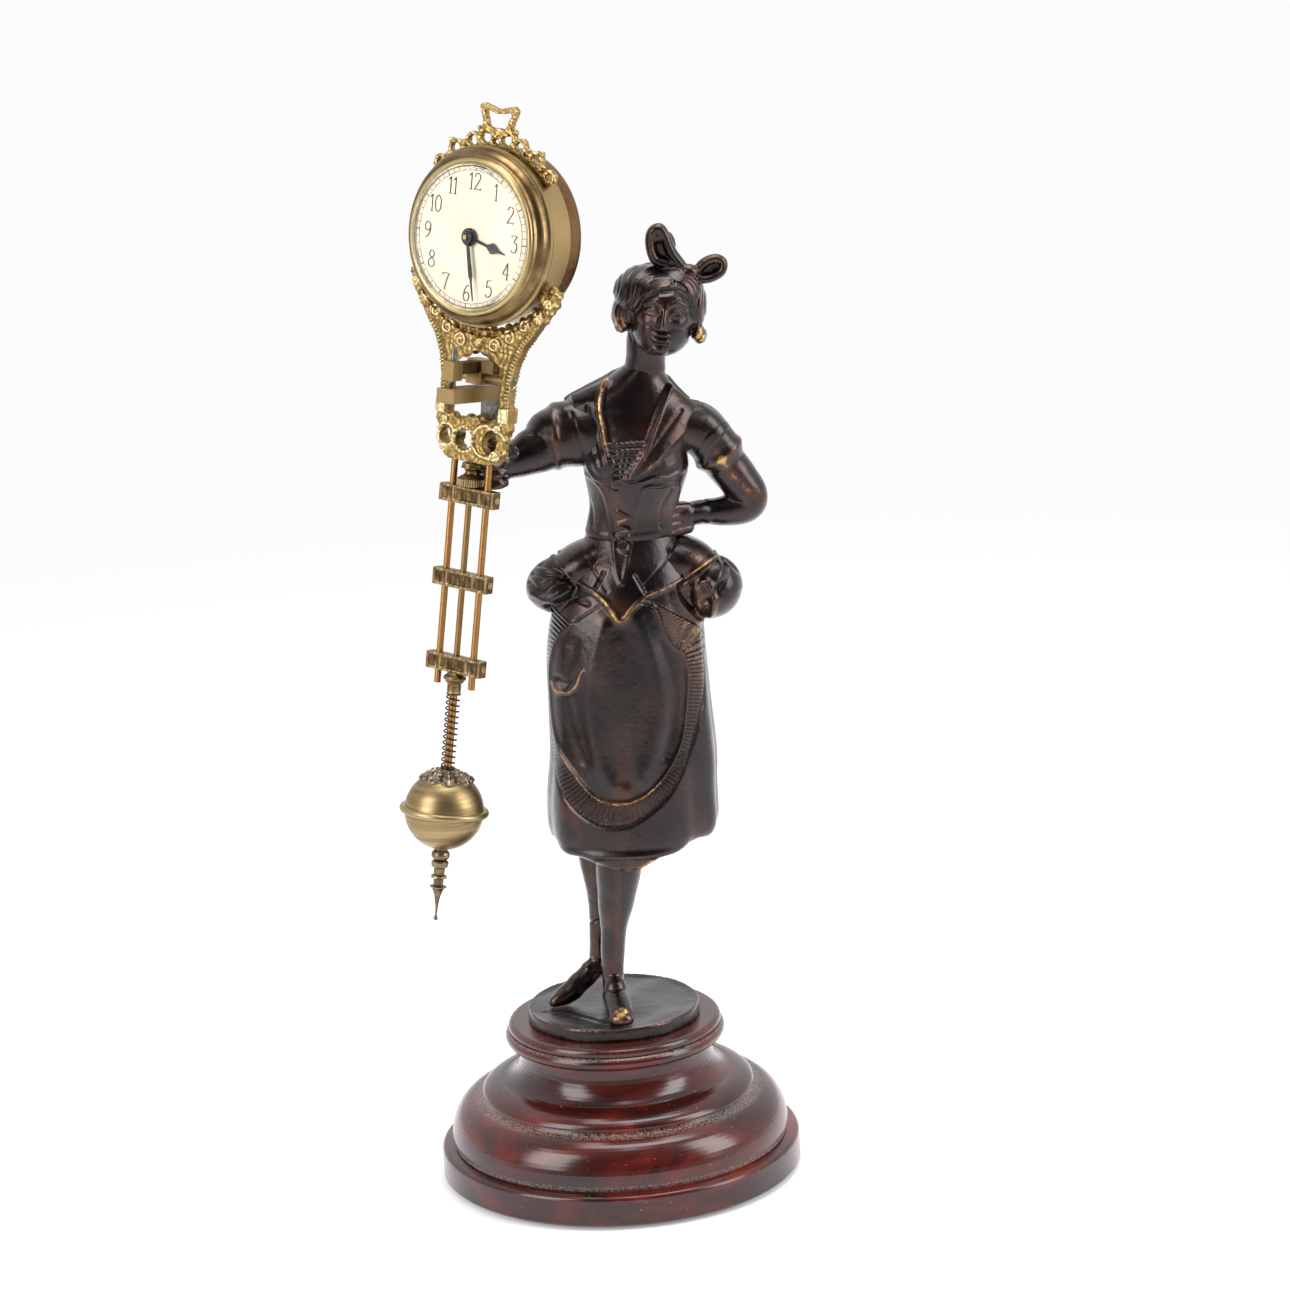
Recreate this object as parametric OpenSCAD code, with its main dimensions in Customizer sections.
// A swinging mystery clock: a bronze figure on a turned base holds out a bearing on which
// a clock and its gridiron pendulum rock together on two needle pins.
// Millimetres, +Z up, -Y towards the viewer, origin at the middle of the foot.

/* [Turned base] */
// Radius of the plinth
plinth_r = 62; // [60:0.5:70]
// Height of the plinth's wall above the felt
plinth_h = 10.6; // [8:0.2:12]
// Overall height of the turned base, felt included
base_h = 55.2; // [55:0.2:62]
// Thickness of the felt under the base
felt_t = 1.2; // [0.8:0.1:3]
// Radius of the felt
felt_r = 58; // [50:0.5:59]
// Radius of the threaded stud that holds figure and base together
stud_r = 3; // [2.5:0.1:4]
// Radial clearance of the stud in the base
stud_gap = 0.3; // [0.1:0.05:0.6]
// Radius of the recess for the stud's nut
recess_r = 14; // [12:0.5:20]
// Depth of the recess for the stud's nut, from the base's underside
recess_h = 12; // [9:0.5:20]
// Height of the stud's nut
stud_nut_h = 5; // [4:0.2:6]

/* [Bronze figure] */
// Radius of the bronze ground the figure stands on
ground_r = 29.4; // [28:0.1:31]
// Thickness of the bronze ground
ground_h = 4.8; // [4:0.1:8]
// Thickness of the hollow skirt's wall
skirt_wall = 2.4; // [1.8:0.1:3]
// Height of the skirt's inner roof above the ground
roof_z = 92; // [84:1:100]
// Sides of each ring of the modelled figure
ring_sides = 28; // [20:4:40]

/* [Bearing and swing axis] */
// Height of the swing axis above the bronze ground
pivot_up = 222.97; // [220:0.1:226]
// Turn of the clock to the viewer's left about the vertical
yaw = 38.6; // [36:0.1:41]
// Rearward tilt of the clock and of its swing axis
tilt = 8.9; // [7:0.1:10]
// Lean in which the clock hangs at rest, top towards the figure
lean = 3.0; // [2:0.1:4]
// Distance of the front needle pin in front of the frame
front_pin = 14; // [13:0.1:15]
// Distance of the rear needle pin behind the frame
rear_pin = 10; // [9:0.1:11]
// Radius of a needle pin
pin_r = 0.9; // [0.7:0.05:1]
// Height of a needle pin
pin_h = 14.2; // [12:0.1:16]
// Width of the bearing block
block_w = 7.2; // [6:0.1:8]
// Height of the bearing block
block_h = 4.9; // [4:0.1:6]
// Height of the block's top over the swing axis
block_over = 0.6; // [0.4:0.05:0.8]
// Radius of a jewel
jewel_r = 1.6; // [1.4:0.05:1.8]
// Depth of a jewel
jewel_h = 1.5; // [1.2:0.1:2]
// Width of the steel post under the block
post_w = 6.6; // [5:0.1:7.2]
// Depth of the steel post, front to back
post_d = 4.6; // [4:0.1:5]
// Distance of the post's front face behind the frame
post_back = 5.8; // [5.5:0.1:6]
// Length of the post below the block
post_len = 27; // [24:0.5:29]

/* [Lyre frame] */
// Thickness of the lyre frame, front to back
frame_t = 4; // [3:0.1:5]
// Half width of the frame's window
window_half = 11.1; // [10:0.1:11.6]
// Height of the drum's axis above the swing axis
head_up = 50.5; // [50:0.1:52]
// Radius of the frame's arch round the drum
arch_r = 33.2; // [32.5:0.1:34]
// Drop of the frame's lower edge below the swing axis
frame_drop = 24.8; // [24:0.1:26]
// Radius of the cross bar
cross_r = 1.7; // [1.4:0.1:1.8]
// Height of the cross bar above the swing axis
cross_up = 3.6; // [3.5:0.1:4.5]
// Height of the pin carrier's top above the swing axis
carrier_top = 9.7; // [9:0.1:11]
// Width of the pin carrier's end blocks
carrier_w = 4.6; // [4:0.1:5]

/* [Gridiron pendulum] */
// Radius of a side rod
rod_r = 1.15; // [0.9:0.05:1.3]
// Distance of each side rod from the middle
rod_off = 7.4; // [7:0.1:8]
// Radius of the centre rod
centre_r = 1.05; // [0.9:0.05:1.2]
// Length of a gridiron bar
bar_l = 23.2; // [22:0.1:25]
// Height of a gridiron bar
bar_h = 5.8; // [5:0.1:6.5]
// Depth of a gridiron bar
bar_d = 4; // [3.4:0.1:5]
// Gap between the frame and the top bar, which holds the rating nut
nut_gap = 8.6; // [8.4:0.1:10]
// Distance from one bar's top to the next bar's top
bar_pitch = 28.55; // [26:0.1:30]
// Length of the side rods below the bottom bar
rod_tail = 4.6; // [3:0.1:6]
// Radius of the rating nut's knurled rim
nut_r = 4.7; // [4:0.1:4.9]
// Radial clearance of the rating nut on the centre rod
thread_gap = 0.05; // [0.03:0.01:0.1]

/* [Ball and finial] */
// Radius of the threaded rod
screw_r = 1.35; // [1.2:0.05:1.5]
// Height of the flared collar under the bottom bar
collar_h = 6.9; // [6:0.1:8]
// Mean radius of the spring's coil
spring_r = 2.2; // [2:0.05:2.4]
// Radius of the spring's wire
wire_r = 0.25; // [0.2:0.01:0.3]
// Number of curls in the spring
curls = 13; // [8:1:14]
// Height of the space for the spring
spring_h = 26; // [24:0.1:30]
// Outer radius of the ball
ball_r = 13.4; // [12:0.1:14]
// Thickness of the ball's spun shell
shell_t = 0.8; // [0.6:0.1:1.2]
// Height of the cast weight's top above the ball's middle
weight_top = 7.3; // [2:0.05:9]
// Outer radius of the ball's band
band_r = 15.1; // [14.4:0.1:15.5]
// Height of the ball's band
band_h = 2.4; // [2:0.1:3]
// Thickness of the leaf cap on the ball
leaf_t = 0.9; // [0.7:0.1:1.4]
// Number of leaves of the cap
leaves = 8; // [6:1:10]
// Height by which the finial nut can raise the ball
ball_travel = 4; // [2:0.5:5]
// Length of the threaded rod inside the finial nut at rest
thread_in = 4.4; // [3:0.1:5]
// Radial clearance of the ball on the threaded rod
ball_gap = 0.1; // [0.05:0.01:0.2]

/* [Clock case] */
// Outer radius of the drum
drum_r = 29; // [28:0.1:29.4]
// Thickness of the drum's wall
drum_t = 0.9; // [0.7:0.1:1]
// Distance from the frame's middle to the drum's front edge
drum_front = 5.2; // [5:0.1:6]
// Distance from the frame's middle to the seam of the rear cover
seam_back = 6; // [5.5:0.1:7]
// Distance from the frame's middle to the drum's back
drum_back = 13.5; // [13:0.1:15]
// Width by which the bezel's flange stands over the drum
flange_over = 0.9; // [0.6:0.1:1.5]
// Bore radius of the bezel's lip, which holds the crystal
lip_r = 24; // [23.6:0.1:24.2]
// Distance from the frame's middle to the dial's front
dial_front = 10; // [9.8:0.1:11]
// Thickness of the dial
dial_t = 0.8; // [0.5:0.1:1]
// Height of the crystal's dome above the dial
dome_h = 5.2; // [5:0.1:6]
// Thickness of the crystal
crystal_t = 0.9; // [0.7:0.1:1]
// Thickness of the crest
crest_t = 2.4; // [2:0.1:3]

/* [Hands and motion work] */
// Length of the minute hand from the centre
minute_l = 20.8; // [18:0.1:22]
// Length of the hour hand from the centre
hour_l = 15.8; // [13:0.1:17]
// Clockwise angle of the minute hand from twelve at rest
minute_at = 168; // [0:6:354]
// Module of the cannon pinion and the minute wheel
motion_m = 0.4; // [0.38:0.01:0.42]
// Teeth of the cannon pinion
cannon_n = 10; // [10:1:10]
// Teeth of the minute wheel
minute_n = 30; // [30:1:30]
// Teeth of the minute wheel's pinion
step_n = 10; // [10:1:10]
// Teeth of the hour wheel
hour_n = 40; // [40:1:40]

/* [Going train] */
// Distance from the frame's middle to the front plate's back
plate_front = 3.8; // [3.6:0.1:4]
// Clear height between the plates
plate_gap = 10; // [9.8:0.1:10.4]
// Thickness of each plate
plate_t = 1.4; // [1.2:0.1:1.4]
// Radius of the back plate
back_r = 24.5; // [24:0.1:26]
// Module of the great wheel and the centre pinion
great_m = 0.375; // [0.37:0.005:0.38]
// Teeth of the great wheel
great_n = 64; // [64:1:64]
// Leaves of every train pinion
leaf_n = 8; // [8:1:8]
// Direction of the barrel from the centre
barrel_at = -16.5; // [-20:0.5:-10]
// Module of the centre wheel and the third pinion
centre_m = 0.3; // [0.29:0.005:0.31]
// Teeth of the centre wheel and the third wheel
wheel_n = 60; // [60:4:60]
// Module of the third wheel and the escape pinion
third_m = 0.28; // [0.27:0.005:0.29]
// Height of the escape arbor above the centre
escape_up = 13; // [12.5:0.1:13.5]
// Radius of the escape wheel
escape_r = 4.4; // [4.2:0.1:4.6]
// Teeth of the escape wheel
escape_n = 15; // [15:1:15]
// Height of the pallet arbor above the escape arbor
pallet_up = 5.6; // [5.4:0.1:5.8]
// Radius of the barrel's drum
barrel_r = 11; // [10:0.1:11.2]
// Radius of the centre arbor
arbor_r = 0.8; // [0.7:0.05:0.9]
// Radial clearance of arbors and pipes
run_gap = 0.05; // [0.03:0.01:0.1]

/* [Hidden] */
$fn = 64;

bronze = "#3a211b";
redwood = "#5a1a17";
old_brass = "#8a7346";
gilt = "#b8954a";
copper = "#a86a3c";
steel = "#6c6a68";
eps = 0.01;

ground_top = base_h + ground_h;
pivot = [-33.15, -16.73, ground_top + pivot_up];
bar_z = [for (i = [0:2]) -frame_drop - nut_gap - i * bar_pitch];
collar_top = bar_z[2] - bar_h;
spring_top = collar_top - collar_h;
spring_low = spring_top - spring_h;
ball_z = spring_low - ball_r - leaf_t;
finial_top = ball_z - ball_r;
finial_bore = thread_in + ball_travel + 0.3;
gap_low = plate_front - plate_gap;
plate_low = gap_low - plate_t;

// Points of an arc in a profile
function arc(cx, cy, r, a0, a1, n) =
  [for (i = [0:n]) let (a = a0 + (a1 - a0) * i / n) [cx + r * cos(a), cy + r * sin(a)]];

// Points of a quarter of an ellipse, or of a part of it
function oval(cx, cy, rx, ry, a0, a1, n) =
  [for (i = [0:n]) let (a = a0 + (a1 - a0) * i / n) [cx + rx * cos(a), cy + ry * sin(a)]];

// Outline of a wheel: tooth centres start at the angle phase
function wheel_points(n, m, phase, tip = 0.9, root = 1.15) =
  [for (i = [0:n-1])
    for (k = [[-0.34, -root], [-0.16, 0], [-0.09, tip], [0.09, tip], [0.16, 0], [0.34, -root]])
      let (a = phase + (i + k[0]) * 360 / n, r = m * n / 2 + k[1] * m)
        [r * cos(a), r * sin(a)]];

// Phase of wheel b, in mesh with wheel a, whose centre lies at the angle at from a's centre
function mesh(at, na, pa, nb) = at + 180 + 180 / nb - (pa - at) * na / nb;

module toothed(n, m, phase, z0, z1)
  translate([0, 0, z0]) linear_extrude(z1 - z0) polygon(wheel_points(n, m, phase));

module rod(r, z0, z1) translate([0, 0, z0]) cylinder(h = z1 - z0, r = r);

module ring(ro, ri, z0, z1) difference() {
  rod(ro, z0, z1);
  rod(ri, z0 - 1, z1 + 1);
}

// A solid through elliptical rings, each [z, centre x, centre y, half width, half depth]
module loft(rings) {
  n = ring_sides;
  m = len(rings);
  points = [for (s = rings) for (i = [0:n-1])
    [s[1] + s[3] * cos(i * 360 / n), s[2] + s[4] * sin(i * 360 / n), s[0]]];
  sides = [for (j = [0:m-2]) for (i = [0:n-1]) let (k = (i + 1) % n)
    [j * n + i, (j + 1) * n + i, (j + 1) * n + k, j * n + k]];
  polyhedron(points, concat([[for (i = [0:n-1]) i]], sides,
    [[for (i = [n-1:-1:0]) (m - 1) * n + i]]), convexity = 4);
}

function unit(v) = v / norm(v);
function place(s) = [s[0], s[1], s[2]];

// A round limb through the stations [x, y, z, radius]; side is a direction across its run
module limb(stations, side = [0, 1, 0]) {
  n = ring_sides - 8;
  m = len(stations);
  points = [for (j = [0:m-1])
    let (t = unit(place(stations[min(j + 1, m - 1)]) - place(stations[max(j - 1, 0)])),
         u = unit(cross(t, side)), v = cross(t, u), r = stations[j][3])
    for (i = [0:n-1])
      place(stations[j]) + r * cos(i * 360 / n) * u + r * sin(i * 360 / n) * v];
  walls = [for (j = [0:m-2]) for (i = [0:n-1]) let (k = (i + 1) % n)
    [j * n + i, (j + 1) * n + i, (j + 1) * n + k, j * n + k]];
  polyhedron(points, concat([[for (i = [0:n-1]) i]], walls,
    [[for (i = [n-1:-1:0]) (m - 1) * n + i]]), convexity = 4);
}

// An egg-shaped mass of the figure with its three half sizes
module egg(at, size, turn = [0, 0, 0])
  translate(at) rotate(turn)
    loft([for (a = [-80:20:80]) [size[2] * sin(a), 0, 0, size[0] * cos(a), size[1] * cos(a)]]);

module on_ground() translate([0, 0, ground_top]) children();

// The bearing's frame: swing axis along Y, block level
module on_bearing() translate(pivot) rotate([0, 0, -yaw]) rotate([-tilt, 0, 0]) children();

// The swinger's frame: the same, leaning as the clock hangs
module on_swinger() on_bearing() rotate([0, lean, 0]) children();

// The clock's own frame: +Z out of the dial, +Y towards twelve
module on_clock() on_swinger() translate([0, 0, head_up]) rotate([90, 0, 0]) children();

// Turned base

module felt_pad() color("#3b3a36") rod(felt_r, 0, felt_t);

// Middle and half height of the base's big torus, between the plinth and the neck
torus_z = felt_t + plinth_h + 3;
torus_h = base_h - 27 - torus_z;
base_profile = concat(
  [[0, felt_t], [plinth_r - 0.8, felt_t], [plinth_r, felt_t + 0.8]],
  arc(plinth_r - 1.6, felt_t + plinth_h - 1.6, 1.6, 0, 80, 6),
  [[plinth_r - 4.2, felt_t + plinth_h + 0.6], [plinth_r - 4.4, felt_t + plinth_h + 1.6]],
  oval(plinth_r - 13.6, torus_z, 9.8, torus_h, -6, 86, 14),
  [[plinth_r - 14.6, base_h - 26.6], [plinth_r - 14.8, base_h - 26]],
  oval(plinth_r - 25.6, base_h - 25.4, 10.6, 4.8, 0, 68, 9),
  oval(plinth_r - 21.6, base_h - 10.4, 7.6, 10.6, 266, 182, 10),
  [[plinth_r - 29, base_h - 7.8]],
  arc(plinth_r - 26.6, base_h - 5.3, 2.5, 220, 420, 12),
  arc(plinth_r - 27.2, base_h - 1.9, 1.9, -40, 90, 8),
  [[0, base_h]]);

module turned_base() color(redwood) difference() {
  rotate_extrude($fn = 96) polygon(base_profile);
  rod(stud_r + stud_gap, 0, base_h + 1);
  rod(recess_r, 0, felt_t + recess_h);
}

module base_stud() color(steel)
  rod(stud_r, felt_t + recess_h - stud_nut_h - 1.5, ground_top - 1.8);

module stud_nut() color(steel) translate([0, 0, felt_t + recess_h]) difference() {
  union() {
    translate([0, 0, -stud_nut_h]) cylinder(h = stud_nut_h - 1, r = stud_r * 1.95, $fn = 6);
    rod(stud_r * 3, -1.2, 0);
  }
  rod(stud_r, -stud_nut_h - 1, 1);
}

module ground_disc() color(bronze) difference() {
  translate([0, 0, base_h]) cylinder(h = ground_h, r1 = ground_r + 0.5, r2 = ground_r);
  rod(stud_r, base_h - 1, ground_top - 1.8);
}

// Bronze figure, measured from the top of its ground

// Legs end flat on the ground and flat under the skirt's roof
module ground_to_roof() intersection() {
  children();
  translate([-60, -60, 0]) cube([140, 120, roof_z]);
}

module front_leg() color(bronze) on_ground() ground_to_roof() union() {
  limb([[8, -5, roof_z + 4, 7], [6, -5, 72, 7.6], [4.4, -5, 50, 7.8], [3, -5, 39.4, 6.5],
    [1.7, -5.4, 29.5, 4.8], [0.7, -5.5, 18.6, 4], [0.4, -5.4, 5, 3.8]]);
  limb([[0.2, -2.6, 3.4, 3.2], [0.6, -8, 5, 4.3], [1.8, -16, 3.6, 4.6], [2.5, -22, 2.2, 4.2],
    [2.7, -25.5, 1.4, 2.8]], [1, 0, 0]);
}

module rear_leg() color(bronze) on_ground() ground_to_roof() union() {
  limb([[-4.6, 6.5, roof_z + 4, 5.6], [-4.2, 6.5, 60, 5.5], [-3.9, 6.5, 50, 5.2],
    [-3.3, 6.5, 38, 4], [-3.5, 6.6, 26, 3.4], [-4.6, 6.3, 14, 3.4]]);
  limb([[-2.8, 7, 12.5, 2.4], [-5.2, 5.9, 11.4, 3.5], [-10, 3.6, 7.4, 3.7],
    [-15.5, 0.8, 3.2, 3.8], [-20.5, -1.8, 1.2, 2.4]]);
}

waist_ring = [169, 15.2, -0.4, 14.9, 11.6];
skirt_rings = [
  [58, 10.3, -1.5, 26, 22.4], [59.4, 10.3, -1.5, 28, 24], [63, 10.4, -1.5, 29.2, 25], [75, 10.6, -1.5, 29.2, 24.8],
  [90, 11.6, -1.5, 28.6, 24.2], [108, 11.2, -1.5, 27.8, 23.4], [127, 11, -1.2, 27, 22.4],
  [142, 12.2, -1, 25.2, 20.8], [154, 13.8, -0.8, 21.5, 18], [163, 14.8, -0.5, 17, 14],
  waist_ring];

module skirt_form() union() {
  loft(skirt_rings);
  egg([-11, -3, 150.5], [11.2, 10.5, 9.5], [0, -18, 0]);
  egg([-2, -3, 158], [12, 10.5, 7], [0, -24, 0]);
  egg([41, -3, 147], [10.8, 11, 11], [0, 14, 0]);
  egg([32, -3, 157.5], [12.5, 10.5, 7.5], [0, 26, 0]);
}

module skirt() color(bronze) on_ground() difference() {
  skirt_form();
  loft([for (i = [0:2]) let (s = skirt_rings[[0, 3, 4][i]])
    [[57.9, 75, roof_z][i], s[1], s[2], s[3] - skirt_wall, s[4] - skirt_wall]]);
  translate([-60, -60, waist_ring[0]]) cube([140, 120, 20]);
}

neck_ring = [224, 22.3, 0.8, 6.8, 6.5];
bodice_rings = [
  waist_ring, [175, 16, -0.8, 14.7, 11.8], [182, 17, -1.8, 16, 13.4], [189, 17.6, -2.4, 17.6, 14.2],
  [196, 17.4, -2.2, 17.6, 13.6], [202, 17.6, -1.4, 19.4, 12], [208, 17, -0.2, 21.5, 10.6],
  [212.5, 14.8, 0.2, 20, 9.8], [216, 16.4, 0.5, 15.4, 9], [220, 19.4, 0.8, 9.8, 7.8], neck_ring];

module bodice_form() loft(bodice_rings);

module bodice() color(bronze) on_ground() bodice_form();

module head() color(bronze) on_ground() difference() {
  union() {
    limb([[22.3, 0.8, neck_ring[0] - 0.5, 6.6], [23, 0.2, 228, 6.3], [24, -0.8, 233, 6.3],
      [26, -1.5, 240, 6.6]]);
    egg([26.4, -4.6, 243.2], [9.9, 11.4, 13], [6, 0, 0]);
    egg([27.8, 1.2, 243.5], [16, 13.6, 15.2]);
    egg([17.3, -2.4, 237.4], [4.4, 6.5, 5.8]);
    egg([38.9, -2.4, 234.8], [4.6, 6.5, 6.4]);
    egg([38, -3.4, 256.6], [3.6, 3, 3]);
    egg([31.6, -3, 264], [4.6, 2.6, 8.6], [0, -10, 0]);
    egg([44.2, -3, 256.4], [6.4, 2.6, 4.2], [0, -12, 0]);
  }
  translate([0, -40, 200]) cube([60, 80, neck_ring[0] - 200]);
}

module raised_arm_form() union() {
  limb([[14, 0, 203, 10.6], [4, -0.3, 202.6, 11.8], [-4, -1.6, 201.8, 11.6],
    [-9, -3.4, 201.2, 10.2], [-14.6, -6, 198.4, 8.6], [-20, -9, 196.6, 7],
    [-25, -12, 196, 6.4]], [0, 0, 1]);
  egg([-28.4, -13.6, 195.6], [6.4, 6.4, 9.6], [0, 0, -30]);
}

module post_form() translate([-post_w / 2, post_back, block_over - block_h - post_len])
  cube([post_w, post_d, post_len]);

module grub_form() translate([0, post_back + post_d, block_over - block_h - 20])
  rotate([-90, 0, 0]) cylinder(h = 4.4, r = 1.3);

module raised_arm() color(bronze) difference() {
  on_ground() difference() {
    raised_arm_form();
    bodice_form();
  }
  on_bearing() post_form();
  on_bearing() grub_form();
  on_bearing() translate([-20, post_back - 40.5, -45]) cube([60, 40, 60]);
}

module hip_arm() color(bronze) on_ground() difference() {
  limb([[33, 0.4, 203.6, 8.4], [39.5, 1, 201, 8.8], [43.4, 1.8, 196, 8], [46.8, 2.8, 189.4, 7.8],
    [51.6, 4, 182, 7.6], [55.2, 4.8, 176.2, 7.2], [53.2, 4.8, 172.2, 6.6], [47, 3.8, 171.4, 5.6],
    [40, 1.8, 171.8, 4.6], [33, -1.4, 172.2, 4.2], [28, -5, 172.4, 3.4]], [0, 1, 0]);
  bodice_form();
  skirt_form();
}

// Bearing on the figure's hand

block_l = front_pin + rear_pin + 6;
block_y = -front_pin - 3;

module bearing_post() color(steel) on_bearing() difference() {
  post_form();
  translate([0, post_back + 1.3, block_over - block_h]) rod(0.8, -5, 1);
}

module bearing_block() color(old_brass) on_bearing() difference() {
  translate([-block_w / 2, block_y, block_over - block_h]) cube([block_w, block_l, block_h]);
  for (y = [-front_pin, rear_pin]) translate([0, y, 0])
    rod(jewel_r, block_over - jewel_h, block_over + 1);
  translate([0, post_back + 1.3, block_over]) {
    rod(0.8, -block_h - 1, 1);
    rod(1.2, -1, 1);
  }
}

module bearing_jewels() color("#9c1c3c") on_bearing()
  for (y = [-front_pin, rear_pin]) translate([0, y, 0]) difference() {
    rod(jewel_r, block_over - jewel_h, block_over - 0.1);
    translate([0, 0, -0.12]) cylinder(h = 1, r1 = 0.12, r2 = 1.6);
  }

module bearing_screws() color(steel) on_bearing() {
  translate([0, post_back + 1.3, block_over]) {
    rod(0.8, -block_h - 4.5, -0.9);
    rod(1.2, -1, -0.1);
  }
  grub_form();
}

// Lyre frame and the needle pins it hangs by

frame_side = [
  [31.4, 35.9], [29.4, 30], [26.1, 25.5], [22.5, 20.5], [18.7, 15.5], [16, 9.5], [14.7, 2.8],
  [14.4, -4.1], [15.1, -5.2], [15, -9.9], [15.5, -12.2], [13.4, -14.5], [13.7, -18.5],
  [12.4, 2.3 - frame_drop], [9, -frame_drop]];
mirrored = [for (i = [len(frame_side)-1:-1:0]) [-frame_side[i][0], frame_side[i][1]]];

module frame_sheet() difference() {
  polygon(concat(frame_side, mirrored, [[-arch_r + 3.4, 36.4], [arch_r - 3.4, 36.4]]));
  translate([0, head_up]) {
    difference() {
      circle(r = arch_r, $fn = 96);
      for (a = [-34, 214]) rotate(a) translate([20, -1.8]) square([16, 3.6]);
    }
    circle(r = drum_r, $fn = 96);
  }
  polygon([[-window_half, -9.8], [-5.4, -11.2], [0, -9.6], [5.4, -11.2], [window_half, -9.8],
    [window_half, cross_up + cross_r + 0.3], [10.2, 8], [7, 9.6], [3.4, 11.2], [0, 12.4],
    [-3.4, 11.2], [-7, 9.6],
    [-10.2, 8], [-window_half, cross_up + cross_r + 0.3]]);
  translate([-2.6, -17.6]) circle(r = 3.4);
  translate([-9.8, -17]) intersection() {
    circle(r = 3);
    translate([-3.4, 0]) circle(r = 4.2);
  }
  translate([6.6, -17]) intersection() {
    circle(r = 4.6);
    translate([3, -0.4]) circle(r = 4.6);
  }
}

module screw_holes() for (s = [-1, 1]) translate([0, 0, cross_up]) rotate([0, s * 90, 0])
  rod(0.9, window_half - 3, 20);

module horn_holes() translate([0, 0, head_up]) for (a = [-34, 214])
  rotate([0, -a, 0]) rotate([0, 90, 0]) rod(0.8, drum_r - 4, drum_r + 3.2);

module lyre_frame() color(gilt) on_swinger() difference() {
  translate([0, frame_t / 2, 0]) rotate([90, 0, 0]) linear_extrude(frame_t) frame_sheet();
  screw_holes();
  for (s = [-1, 1]) translate([0, 0, cross_up]) rotate([0, s * 90, 0])
    rod(1.5, window_half + 2.4, 20);
  horn_holes();
  for (s = [-1, 1]) translate([s * rod_off, 0, 0]) rod(rod_r, -frame_drop - 1, 3 - frame_drop);
  rod(centre_r, -frame_drop - 1, 3 - frame_drop);
}

module cross_bar() color(old_brass) on_swinger() difference() {
  translate([0, 0, cross_up]) rotate([0, 90, 0]) rod(cross_r, -window_half, window_half);
  screw_holes();
}

module frame_screws() color(steel) on_swinger() {
  for (s = [-1, 1]) translate([0, 0, cross_up]) rotate([0, s * 90, 0]) {
    rod(0.9, window_half - 3, window_half + 2.5);
    rod(1.5, window_half + 2.4, window_half + 3.4);
  }
  translate([0, 0, head_up]) for (a = [-34, 214, 60, 120]) rotate([0, -a, 0]) rotate([0, 90, 0]) {
    rod(0.8, drum_r - drum_t - 0.1, drum_r + (a > 50 && a < 130 ? 1.1 : 3));
    rod(1.5, drum_r - drum_t - 0.9, drum_r - drum_t - 0.05);
  }
}

module pin_carrier() color(old_brass) on_swinger() difference() {
  union() {
    translate([-3.2, -3, cross_up - cross_r - 0.5])
      cube([6.4, 6, carrier_top - cross_up + cross_r + 0.5]);
    translate([-1.9, -front_pin, carrier_top - 4.4]) cube([3.8, front_pin + rear_pin, 3.8]);
    for (y = [-front_pin, rear_pin])
      translate([-carrier_w / 2, y - 2.4, carrier_top - 6.4]) cube([carrier_w, 4.8, 6.4]);
  }
  translate([0, 0, cross_up]) rotate([0, 90, 0]) rod(cross_r, -10, 10);
  for (y = [-front_pin, rear_pin]) translate([0, y, 0]) rod(pin_r, 0, 20);
}

module pivot_pins() color(steel) on_swinger()
  for (y = [-front_pin, rear_pin]) translate([0, y, 0]) {
    rod(pin_r, 2.6, pin_h);
    cylinder(h = 2.6, r1 = 0.12, r2 = pin_r);
  }

// Gridiron pendulum

module side_rods() color(copper) on_swinger() for (s = [-1, 1]) translate([s * rod_off, 0, 0])
  rod(rod_r, bar_z[2] - bar_h - rod_tail, 3 - frame_drop);

module centre_rod() color(old_brass) on_swinger()
  rod(centre_r, bar_z[2] - bar_h / 2, 3 - frame_drop);

module bar(i) difference() {
  translate([-bar_l / 2, -bar_d / 2, bar_z[i] - bar_h]) cube([bar_l, bar_d, bar_h]);
  for (s = [-1, 1]) {
    translate([s * rod_off, 0, 0]) rod(rod_r, bar_z[i] - bar_h - 1, bar_z[i] + 1);
    translate([-bar_l / 6, s > 0 ? bar_d / 2 - 0.3 : -bar_d / 2 - 1, bar_z[i] - bar_h + 1.1])
      cube([bar_l / 3, 1.3, bar_h - 2.2]);
    translate([0, 0, bar_z[i] - bar_h / 2]) rotate([0, s * 90, 0])
      rod(0.6, rod_off, bar_l / 2 + 1);
  }
  if (i < 2) rod(centre_r, bar_z[i] - bar_h - 1, bar_z[i] + 1);
  if (i == 2) {
    rod(centre_r, bar_z[i] - bar_h / 2, bar_z[i] + 1);
    rod(screw_r, bar_z[i] - bar_h - 1, bar_z[i] - bar_h / 2);
  }
}

module gridiron_bars() color(old_brass) on_swinger() for (i = [0:2]) bar(i);

module bar_screws() color(old_brass) on_swinger() for (z = bar_z) for (s = [-1, 1])
  translate([0, 0, z - bar_h / 2]) rotate([0, s * 90, 0]) {
    rod(0.6, rod_off + rod_r + 0.05, bar_l / 2 + 0.05);
    rod(1.1, bar_l / 2, bar_l / 2 + 0.4);
  }

nut_top = -frame_drop - 0.5;
nut_low = bar_z[0] + 0.4;

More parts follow.
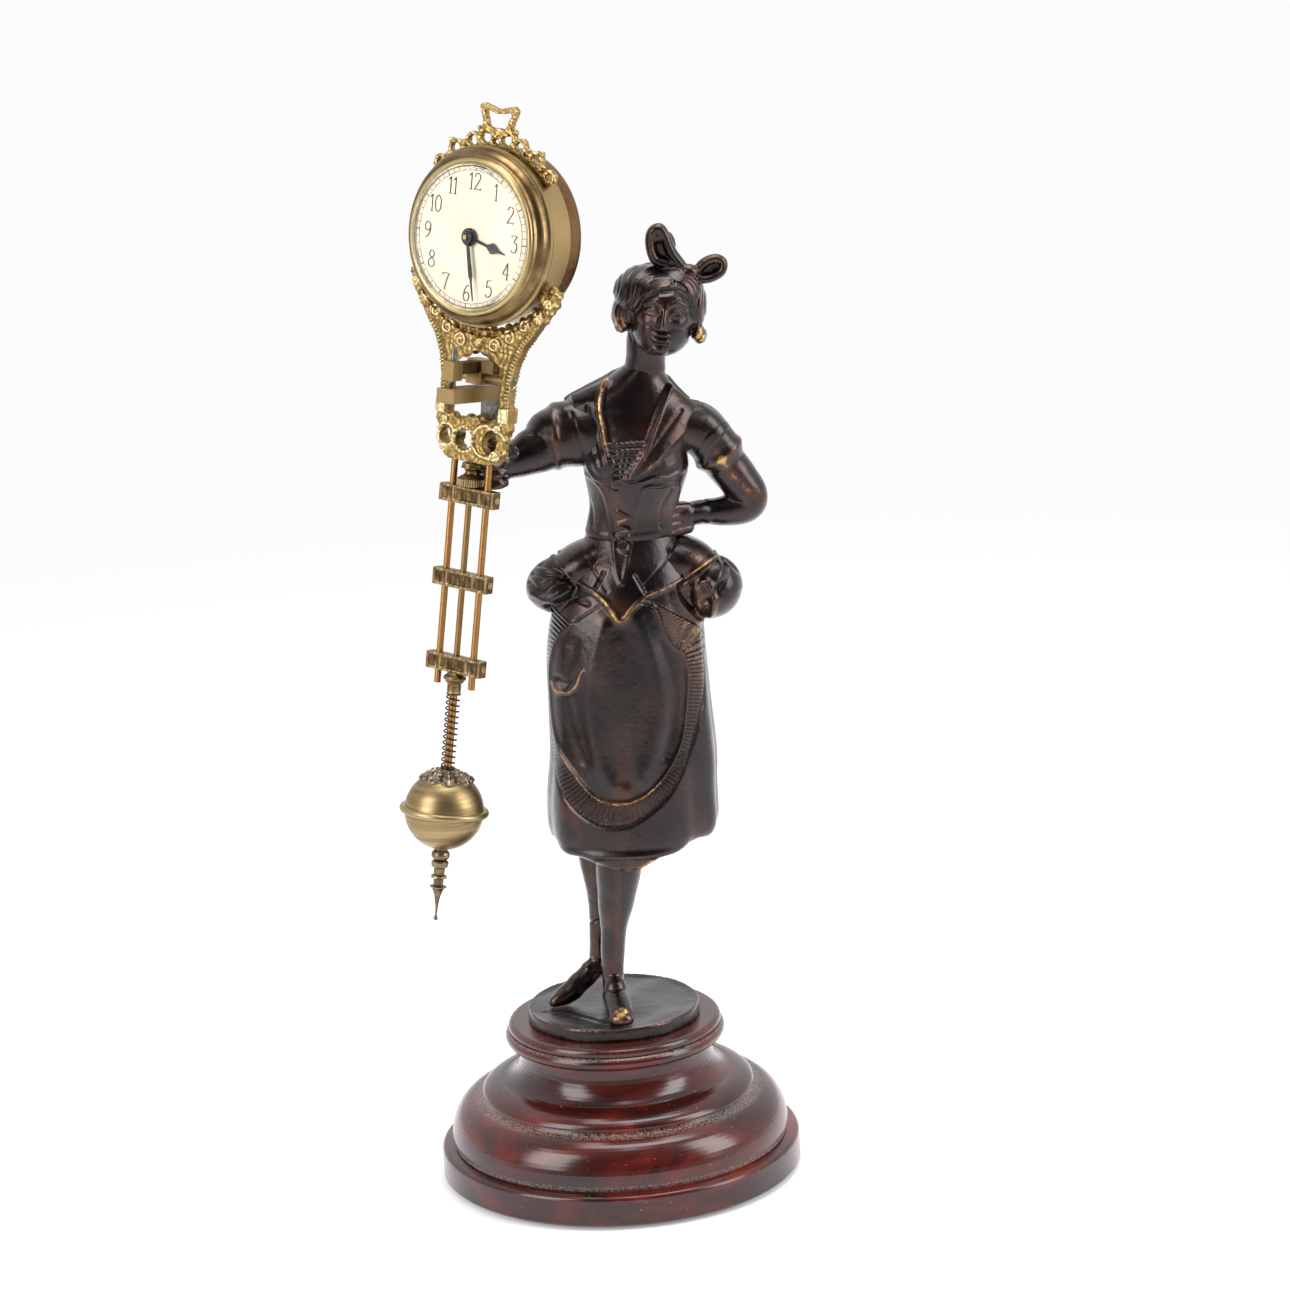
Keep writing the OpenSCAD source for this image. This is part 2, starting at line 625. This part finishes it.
module rating_nut() color(old_brass) on_swinger() rotate_extrude() polygon(concat(
  [[centre_r + thread_gap, nut_top], [nut_r * 0.68, nut_top], [nut_r * 0.7, nut_top - 1.1]],
  oval(nut_r * 0.95, nut_top - 3, nut_r * 0.52, 1.5, 110, 235, 8),
  [[nut_r * 0.92, nut_low + 2.6], [nut_r, nut_low + 2.3], [nut_r, nut_low + 0.3],
    [nut_r * 0.92, nut_low], [centre_r + thread_gap, nut_low]]));

// Ball, its spring and its finial nut

module threaded_rod() color(copper) on_swinger()
  rod(screw_r, finial_top - thread_in, bar_z[2] - bar_h / 2);

module collar_nut() color(old_brass) on_swinger() rotate_extrude() polygon(concat(
  [[screw_r, collar_top], [screw_r + 1.1, collar_top]],
  oval(screw_r + 1.1, collar_top - 1.8, 1.45, 1, 60, -60, 8),
  oval(screw_r + 2.2, collar_top - 4.4, 1.25, 1.4, 110, 190, 6),
  [[screw_r + 1, spring_top], [screw_r, spring_top]]));

// The spring's run: [angle, height, slope], with a straight end one wire thick at each end
curl_steps = 8;
run_h = spring_h - 4 * wire_r;
rise = atan(run_h / curls / (2 * PI * spring_r));
spring_run = concat(
  [[0, spring_top, -90], [0, spring_top - 2 * wire_r, -75]],
  [for (i = [1:curls * curl_steps - 1]) let (f = i / (curls * curl_steps))
    [360 * curls * f, spring_top - 2 * wire_r - run_h * f, -rise]],
  [[360 * curls, spring_low + 2 * wire_r, -75], [360 * curls, spring_low, -90]]);
function on_run(s) = [spring_r * cos(s[0]), spring_r * sin(s[0]), s[1]];
wire_gap = min([for (i = [0:len(spring_run)-1]) for (j = [i + 5:1:len(spring_run)-1])
  norm(on_run(spring_run[i]) - on_run(spring_run[j]))]) - 2 * wire_r;
echo(spring_gap_mm = wire_gap, spring_curls = curls);

module ball_spring() color(steel) on_swinger() {
  n = 6;
  m = len(spring_run);
  points = [for (s = spring_run) for (k = [0:n-1])
    let (e = [cos(s[0]), sin(s[0]), 0], w = [sin(s[2]) * sin(s[0]), -sin(s[2]) * cos(s[0]), cos(s[2])])
      on_run(s) + wire_r * cos(k * 60) * e + wire_r * sin(k * 60) * w];
  walls = [for (j = [0:m-2]) for (i = [0:n-1]) let (k = (i + 1) % n)
    each [[j * n + i, (j + 1) * n + k, (j + 1) * n + i], [j * n + i, j * n + k, (j + 1) * n + k]]];
  polyhedron(points, concat([[for (i = [n-1:-1:0]) i]], walls,
    [[for (i = [0:n-1]) (m - 1) * n + i]]), convexity = 10);
}

module at_ball() on_swinger() translate([0, 0, ball_z]) children();

module leaf_cap() color(gilt) at_ball() difference() {
  union() {
    intersection() {
      sphere(r = ball_r + leaf_t);
      linear_extrude(ball_r + leaf_t + 1) for (i = [0:leaves-1])
        rotate(i * 360 / leaves) translate([5.6, 0]) scale([1, 1]) circle(r = 3.6);
    }
    rod(2.9, ball_r - 1, ball_r + leaf_t);
  }
  sphere(r = ball_r, $fn = 96);
  rod(screw_r + ball_gap, 0, 30);
}

module shell(s) difference() {
  sphere(r = ball_r, $fn = 96);
  sphere(r = ball_r - shell_t, $fn = 96);
  rod(screw_r + ball_gap, -30, 30);
  translate([-30, -30, s > 0 ? -60 : 0]) cube(60);
}

module upper_ball() color(old_brass) at_ball() shell(1);
module lower_ball() color(old_brass) at_ball() shell(-1);

// The weight is cast to the lower shell and hangs on the threaded rod
module ball_weight() color("#4a4744") at_ball() difference() {
  sphere(r = ball_r - shell_t - 0.05, $fn = 96);
  rod(screw_r + ball_gap, -30, 30);
  translate([-30, -30, weight_top]) cube(60);
}

module ball_band() color(gilt) at_ball() rotate_extrude($fn = 96) polygon(concat(
  [[ball_r, -band_h / 2]], oval(band_r - 1, 0, 1, band_h / 2, -90, 90, 10), [[ball_r, band_h / 2]]));

finial_profile = concat(
  [[screw_r + thread_gap, 0.1], [1.9, 0.1]], oval(1.2, -2, 1.95, 1.9, 68, -70, 8),
  [[2.6, -4.1], [2.95, -4.5], [2.8, -6], [1.95, -6.6], [1.75, -8.8], [2.6, -9.1], [2.7, -9.9],
    [1.75, -10.3], [1.65, -12.4], [3, -12.9]],
  oval(3, -22.4, 2.55, 9.3, 92, 172, 8), oval(0, -24, 0.8, 0.8, 55, -90, 8),
  [[0, -finial_bore], [screw_r + thread_gap, -finial_bore]]);

module finial_nut() color(old_brass) on_swinger() translate([0, 0, finial_top])
  difference() {
    rotate_extrude() polygon(finial_profile);
    translate([0, 0, ball_r]) sphere(r = ball_r + 0.05, $fn = 96);
  }

// Clock case

ledge_r = drum_r - drum_t;
flange_r = drum_r + flange_over;

module drum_case() color(old_brass) difference() {
  on_clock() {
    ring(drum_r, ledge_r, -seam_back, drum_front);
    ring(ledge_r + 0.2, ledge_r - 1.6, plate_front - 1, plate_front);
  }
  on_swinger() translate([0, 0, head_up]) for (a = [-34, 214, 60, 120])
    rotate([0, -a, 0]) rotate([0, 90, 0]) rod(0.8, drum_r - 5, drum_r + 2);
}

key_at = great_m * (great_n + leaf_n) / 2;
function about(r, a) = [r * cos(a), r * sin(a), 0];

module back_cover() color(copper) on_clock() difference() {
  rotate_extrude($fn = 96) polygon(concat(
    [[0, -drum_back], [drum_r - 3, -drum_back]],
    arc(drum_r - 3, 3 - drum_back, 3, 270, 360, 8),
    [[drum_r, -seam_back], [ledge_r - 0.02, -seam_back], [ledge_r - 0.02, 1.4 - seam_back],
      [ledge_r - 0.9, 1.4 - seam_back], [ledge_r - 0.9, 3 - drum_back]],
    arc(drum_r - 3.6, 3.2 - drum_back, 2.3, 350, 280, 6),
    [[0, 0.9 - drum_back]]));
  rod(arbor_r + 0.3, -30, 0);
  translate(about(key_at, barrel_at)) rod(2.2, -30, 0);
}

// The bezel's width, the foot of its crown and the bead round its lip
bezel_w = flange_r - lip_r;
crown_in = bezel_w * 0.373;
bead_r = bezel_w * 0.1525;
bezel_profile = concat(
  [[drum_r, drum_front - 1.6], [flange_r - 0.3, drum_front - 1.6], [flange_r, drum_front - 0.9],
    [flange_r, drum_front + 0.1], [flange_r - 0.7, drum_front + 0.6]],
  oval(lip_r + crown_in, drum_front + 0.7, bezel_w - crown_in - 0.9,
    dial_front - drum_front - 1.3, 0, 88, 10),
  arc(lip_r + bead_r + 0.1, dial_front + 0.1, bead_r, 0, 150, 6),
  [[lip_r, dial_front + 0.3], [lip_r, dial_front], [lip_r + 0.7, dial_front],
    [lip_r + 0.7, dial_front - dial_t - 0.2]],
  [[lip_r + crown_in, dial_front - dial_t - 1.4], [ledge_r - 0.4, drum_front + 0.9],
    [ledge_r - 0.4, drum_front], [drum_r, drum_front]]);

module front_bezel() color(old_brass) on_clock() rotate_extrude($fn = 96) polygon(bezel_profile);

module crystal() color("#dfe8ea", 0.35) on_clock() translate([0, 0, dial_front])
  rotate_extrude($fn = 96) polygon(concat(
    [[lip_r, 0], [lip_r, 1.4]],
    oval(0, 1.4, lip_r, dome_h - 1.4, 8, 90, 14),
    oval(0, 1.4, lip_r - crystal_t, dome_h - 1.4 - crystal_t, 90, 8, 14),
    [[lip_r - crystal_t, 0]]));

module dial() color("#efe6d2") on_clock() difference() {
  union() {
    rod(lip_r + 0.65, dial_front - dial_t, dial_front);
    for (a = [30, 150, 270]) translate(about(21, a)) rod(0.8, drum_front, dial_front - dial_t + eps);
  }
  rod(2.7, 0, 20);
}

module scroll(x, y, r, w) translate([x, y, 0]) ring(r, r - w, -crest_t / 2, crest_t / 2);

module crest() color(gilt) on_clock() difference() {
  union() {
    translate([0, 0, -crest_t / 2]) linear_extrude(crest_t) intersection() {
      circle(r = drum_r + 1.5, $fn = 96);
      polygon([[0, 0], [-40, 34], [-40, 60], [40, 60], [40, 34]]);
    }
    for (a = [-46, -32, -18, 18, 32, 46]) rotate(a) scroll(0, drum_r + 3, abs(a) > 40 ? 2.4 : 3, 1.2);
    scroll(-4.4, drum_r + 3.4, 3.4, 1.3);
    scroll(4.4, drum_r + 3.4, 3.4, 1.3);
    translate([0, 0, -crest_t / 2]) linear_extrude(crest_t) difference() {
      polygon([[-4.4, drum_r + 4.2], [-5.4, drum_r + 6], [-8, drum_r + 13.4], [-6.4, drum_r + 14.4],
        [0, drum_r + 12.8], [6.4, drum_r + 14.4], [8, drum_r + 13], [5.4, drum_r + 6],
        [4.4, drum_r + 4.2]]);
      polygon([[-3.6, drum_r + 6.6], [-5.8, drum_r + 12.4], [0, drum_r + 11.2],
        [5.8, drum_r + 12.2], [3.6, drum_r + 6.6]]);
    }
  }
  rod(drum_r, -crest_t, crest_t);
  for (a = [60, 120]) rotate([0, 0, a]) rotate([0, 90, 0]) rod(0.8, drum_r - 1, drum_r + 1.1);
}

// Movement between its plates

pillar_at = [55, 125, 215, 285];
d_third = centre_m * (wheel_n + leaf_n) / 2;
d_escape = third_m * (wheel_n + leaf_n) / 2;
third_y = (d_third * d_third - d_escape * d_escape + escape_up * escape_up) / (2 * escape_up);
third_x = -sqrt(d_third * d_third - third_y * third_y);
third_at = [third_x, third_y, 0];
escape_at = [0, escape_up, 0];
pallet_at = [0, escape_up + pallet_up, 0];
barrel_place = about(key_at, barrel_at);
motion_d = motion_m * (cannon_n + minute_n) / 2;
step_m = 2 * motion_d / (step_n + hour_n);
pivot_r = 0.5;

module plate_holes() {
  rod(arbor_r + run_gap, -30, 30);
  translate(barrel_place) translate([click_at[0], click_at[1], 0])
    rod(0.7 + run_gap, plate_low - 1, gap_low + 1);
  translate(barrel_place) rod(1.6 + run_gap, -30, 30);
  for (p = [third_at, escape_at, pallet_at]) translate(p) rod(pivot_r + run_gap, -30, 30);
}

module front_plate() color(old_brass) on_clock() {
  difference() {
    rod(ledge_r - 0.05, plate_front, plate_front + plate_t);
    plate_holes();
    for (a = pillar_at) translate(about(22, a)) rod(1.1, 0, 10);
  }
  translate([0, -motion_d, 0]) rod(0.7, plate_front + plate_t - eps, plate_front + plate_t + 3);
}

module back_plate() color(old_brass) on_clock() difference() {
  rod(back_r, plate_low, gap_low);
  plate_holes();
  for (a = pillar_at) translate(about(22, a)) rod(1.1, -20, 0);
}

module plate_pillars() color(old_brass) on_clock() for (a = pillar_at) translate(about(22, a)) {
  rod(1.8, gap_low, plate_front);
  rod(1.1, plate_low - 0.3, plate_front + plate_t);
}

great_z = plate_front - 1.6;
barrel_low = gap_low + 2.2;
great_phase = barrel_at + 180;

module barrel() color(old_brass) on_clock() translate(barrel_place) difference() {
  union() {
    toothed(great_n, great_m, great_phase, great_z, great_z + 1);
    rod(barrel_r, barrel_low, great_z + 0.5);
  }
  rod(barrel_r - 0.7, barrel_low + 0.6, great_z);
  rod(1.6 + run_gap, -30, 30);
}

module mainspring() color(steel) on_clock() translate(barrel_place)
  translate([0, 0, barrel_low + 0.9]) linear_extrude(great_z - barrel_low - 1.2) polygon(concat(
    [for (a = [0:20:1800]) let (r = barrel_r - 1 - 2.6 * a / 1800) [r * cos(a), r * sin(a)]],
    [for (a = [1800:-20:0]) let (r = barrel_r - 1.3 - 2.6 * a / 1800) [r * cos(a), r * sin(a)]]));

ratchet_n = 16;
ratchet_r = 3.6;
ratchet_z = plate_low - 1;
click_at = [ratchet_r + 1.3, 3.4];

module barrel_arbor() color(steel) on_clock() translate(barrel_place) {
  rod(1.6, -drum_back - 5, plate_front + plate_t);
  rod(3, barrel_low + 0.9, great_z - 0.3);
  translate([0, 0, ratchet_z]) linear_extrude(0.8) polygon([for (i = [0:ratchet_n-1])
    for (k = [[0, 1], [0.1, 0.82]]) let (a = (i + k[0]) * 360 / ratchet_n)
      ratchet_r * k[1] * [cos(a), sin(a)]]);
}

// The click stands lifted, its nose just outside the ratchet's teeth
module click() color(steel) on_clock() translate(barrel_place) difference() {
  translate([click_at[0], click_at[1], 0]) {
    rod(0.7, ratchet_z - 0.2, gap_low - 0.2);
    translate([0, 0, ratchet_z]) linear_extrude(0.8) {
      circle(r = 1.2);
      polygon([[-1.1, 0.4], [-1.35, -2.4], [-0.6, -3.3], [1, 0]]);
    }
  }
  rod(ratchet_r + 0.1, ratchet_z - 1, ratchet_z + 0.9);
}

module winding_key() color(old_brass) on_clock() translate(barrel_place)
  translate([0, 0, -drum_back - 0.8]) difference() {
    union() {
      rod(2.8, -5.4, 0);
      for (s = [-1, 1]) translate([s * 5, 0, -4.4]) rotate([90, 0, 0]) rod(3.4, -0.7, 0.7);
      translate([-4, -0.7, -6]) cube([8, 1.4, 3]);
    }
    rod(1.6, -4.2, 1);
  }

centre_phase = mesh(barrel_at + 180, great_n, great_phase, leaf_n);
third_dir = atan2(third_y, third_x);
centre_z = gap_low + 1;

module centre_wheel() color(old_brass) on_clock() {
  rod(arbor_r, -drum_back - 4.6, dial_front + 3.2);
  toothed(leaf_n, great_m, centre_phase, great_z - 0.6, great_z + 1.3);
  difference() {
    toothed(wheel_n, centre_m, third_dir, centre_z, centre_z + 0.8);
    for (i = [0:3]) rotate(i * 90 + 45) translate([5, 0, centre_z - 1]) rod(2, 0, 3);
  }
}

module set_knob() color(old_brass) on_clock() difference() {
  union() {
    rod(4.2, -drum_back - 4.4, -drum_back - 2);
    rod(2.2, -drum_back - 2.1, -drum_back - 0.8);
  }
  rod(arbor_r, -40, 0);
}

third_leaf_phase = mesh(third_dir, wheel_n, third_dir, leaf_n);
escape_dir = atan2(escape_up - third_y, -third_x);
third_z = gap_low + 5;

module third_wheel() color(old_brass) on_clock() translate(third_at) {
  rod(pivot_r, plate_low, plate_front + plate_t);
  rod(0.7, gap_low + 0.2, plate_front - 0.2);
  toothed(leaf_n, centre_m, third_leaf_phase, centre_z - 0.5, centre_z + 1.3);
  difference() {
    toothed(wheel_n, third_m, escape_dir, third_z, third_z + 0.6);
    for (i = [0:3]) rotate(i * 90) translate([4.6, 0, third_z - 1]) rod(1.9, 0, 3);
  }
}

escape_leaf_phase = mesh(escape_dir, wheel_n, escape_dir, leaf_n);
escape_z = plate_front - 2.2;
pitch = 360 / escape_n;

module escape_wheel() color(old_brass) on_clock() translate(escape_at) {
  rod(pivot_r, plate_low, plate_front + plate_t);
  rod(0.7, gap_low + 0.2, plate_front - 0.2);
  toothed(leaf_n, third_m, escape_leaf_phase, third_z - 0.5, third_z + 1.3);
  translate([0, 0, escape_z]) linear_extrude(0.4) polygon(
    [for (i = [0:escape_n-1]) for (k = [[0.1, 0.72], [0.44, 1], [0.56, 1], [0.62, 0.72]])
      let (a = 90 + 2 * pitch + (i + k[0]) * pitch) escape_r * k[1] * [cos(a), sin(a)]]);
}

pallet_arm = [[0.6, 1], [4.7, -1.2], [4.5, -2.6], [3.8, -2.3], [3.75, -1.6], [0, -0.7]];

// Pallets and inner pendulum hang plumb, whatever the lean of the clock
module pallets() color(steel) on_clock() translate(pallet_at) rotate(lean) {
  rod(pivot_r, plate_low - 3, plate_front + plate_t);
  rod(0.7, gap_low + 0.2, plate_front - 0.2);
  translate([0, 0, escape_z - 0.1]) linear_extrude(0.8) {
    circle(r = 1);
    polygon(pallet_arm);
    mirror([1, 0]) polygon(pallet_arm);
  }
}

inner_drop = escape_up + pallet_up + 9;

module inner_pendulum() color(old_brass) on_clock() translate(pallet_at) rotate(lean)
  translate([0, 0, plate_low - 2.4]) difference() {
    union() {
      rod(1.5, -0.6, 0.9);
      translate([-0.5, -inner_drop, -0.3]) cube([1, inner_drop, 0.8]);
      translate([0, -escape_up - pallet_up, 0]) rod(3.9, -0.3, 0.5);
      translate([0, -inner_drop, 0]) rod(4.2, -1.2, 1);
    }
    rod(pivot_r, -5, 5);
    translate([0, -escape_up - pallet_up, 0]) rod(3.1, -5, 5);
  }

// Motion work and hands

front_z = plate_front + plate_t;
cannon_phase = -90;
minute_phase = mesh(-90, cannon_n, cannon_phase, minute_n);
hand_z = dial_front + 1.9;

module cannon_pinion() color(steel) on_clock() difference() {
  union() {
    rod(1.35, front_z + 0.2, hand_z - 0.2);
    toothed(cannon_n, motion_m, cannon_phase, front_z + 0.4, front_z + 1.4);
  }
  rod(arbor_r, 0, 30);
}

module minute_wheel() color(old_brass) on_clock() translate([0, -motion_d, 0]) difference() {
  union() {
    toothed(minute_n, motion_m, minute_phase, front_z + 0.6, front_z + 1.2);
    toothed(step_n, step_m, 90, front_z + 1.1, front_z + 2.6);
  }
  rod(0.7 + run_gap, 0, 30);
}

module hour_wheel() color(old_brass) on_clock() difference() {
  union() {
    toothed(hour_n, step_m, mesh(90, step_n, 90, hour_n), front_z + 1.8, front_z + 2.4);
    rod(2.2, front_z + 1.7, dial_front + 1.2);
  }
  rod(1.35 + run_gap, 0, 30);
}

// A hand's half outline, mirrored about its length
module blade(half) polygon(concat(half, [for (i = [len(half)-1:-1:0]) [-half[i][0], half[i][1]]]));

hour_at = minute_at / 12 + 90;

module hour_hand() color("#2e2d2c") on_clock() translate([0, 0, dial_front + 0.6]) difference() {
  union() {
    rod(3, 0, 0.6);
    rotate(-hour_at) linear_extrude(0.35) blade([[0.5, 0], [0.45, hour_l * 0.5],
      [1.9, hour_l * 0.64], [1.5, hour_l * 0.72], [0.5, hour_l * 0.82], [0.12, hour_l]]);
  }
  rod(2.2, -5, 5);
}

module minute_hand() color("#2e2d2c") on_clock() translate([0, 0, hand_z - 0.2]) difference() {
  union() {
    rod(2.1, 0, 0.7);
    rotate(-minute_at) linear_extrude(0.35) blade([[0.45, 0], [0.8, minute_l * 0.62],
      [0.35, minute_l * 0.66], [0.12, minute_l]]);
  }
  rod(arbor_r, -5, 5);
}

felt_pad();
turned_base();
base_stud();
stud_nut();
ground_disc();
rear_leg();
front_leg();
skirt();
bodice();
head();
raised_arm();
hip_arm();
bearing_post();
bearing_block();
bearing_jewels();
bearing_screws();
lyre_frame();
cross_bar();
pin_carrier();
pivot_pins();
frame_screws();
side_rods();
centre_rod();
gridiron_bars();
bar_screws();
rating_nut();
collar_nut();
threaded_rod();
ball_spring();
leaf_cap();
upper_ball();
lower_ball();
ball_weight();
ball_band();
finial_nut();
drum_case();
back_cover();
front_bezel();
crystal();
dial();
crest();
front_plate();
back_plate();
plate_pillars();
barrel();
mainspring();
barrel_arbor();
click();
winding_key();
centre_wheel();
set_knob();
third_wheel();
escape_wheel();
pallets();
inner_pendulum();
cannon_pinion();
minute_hand();
minute_wheel();
hour_wheel();
hour_hand();
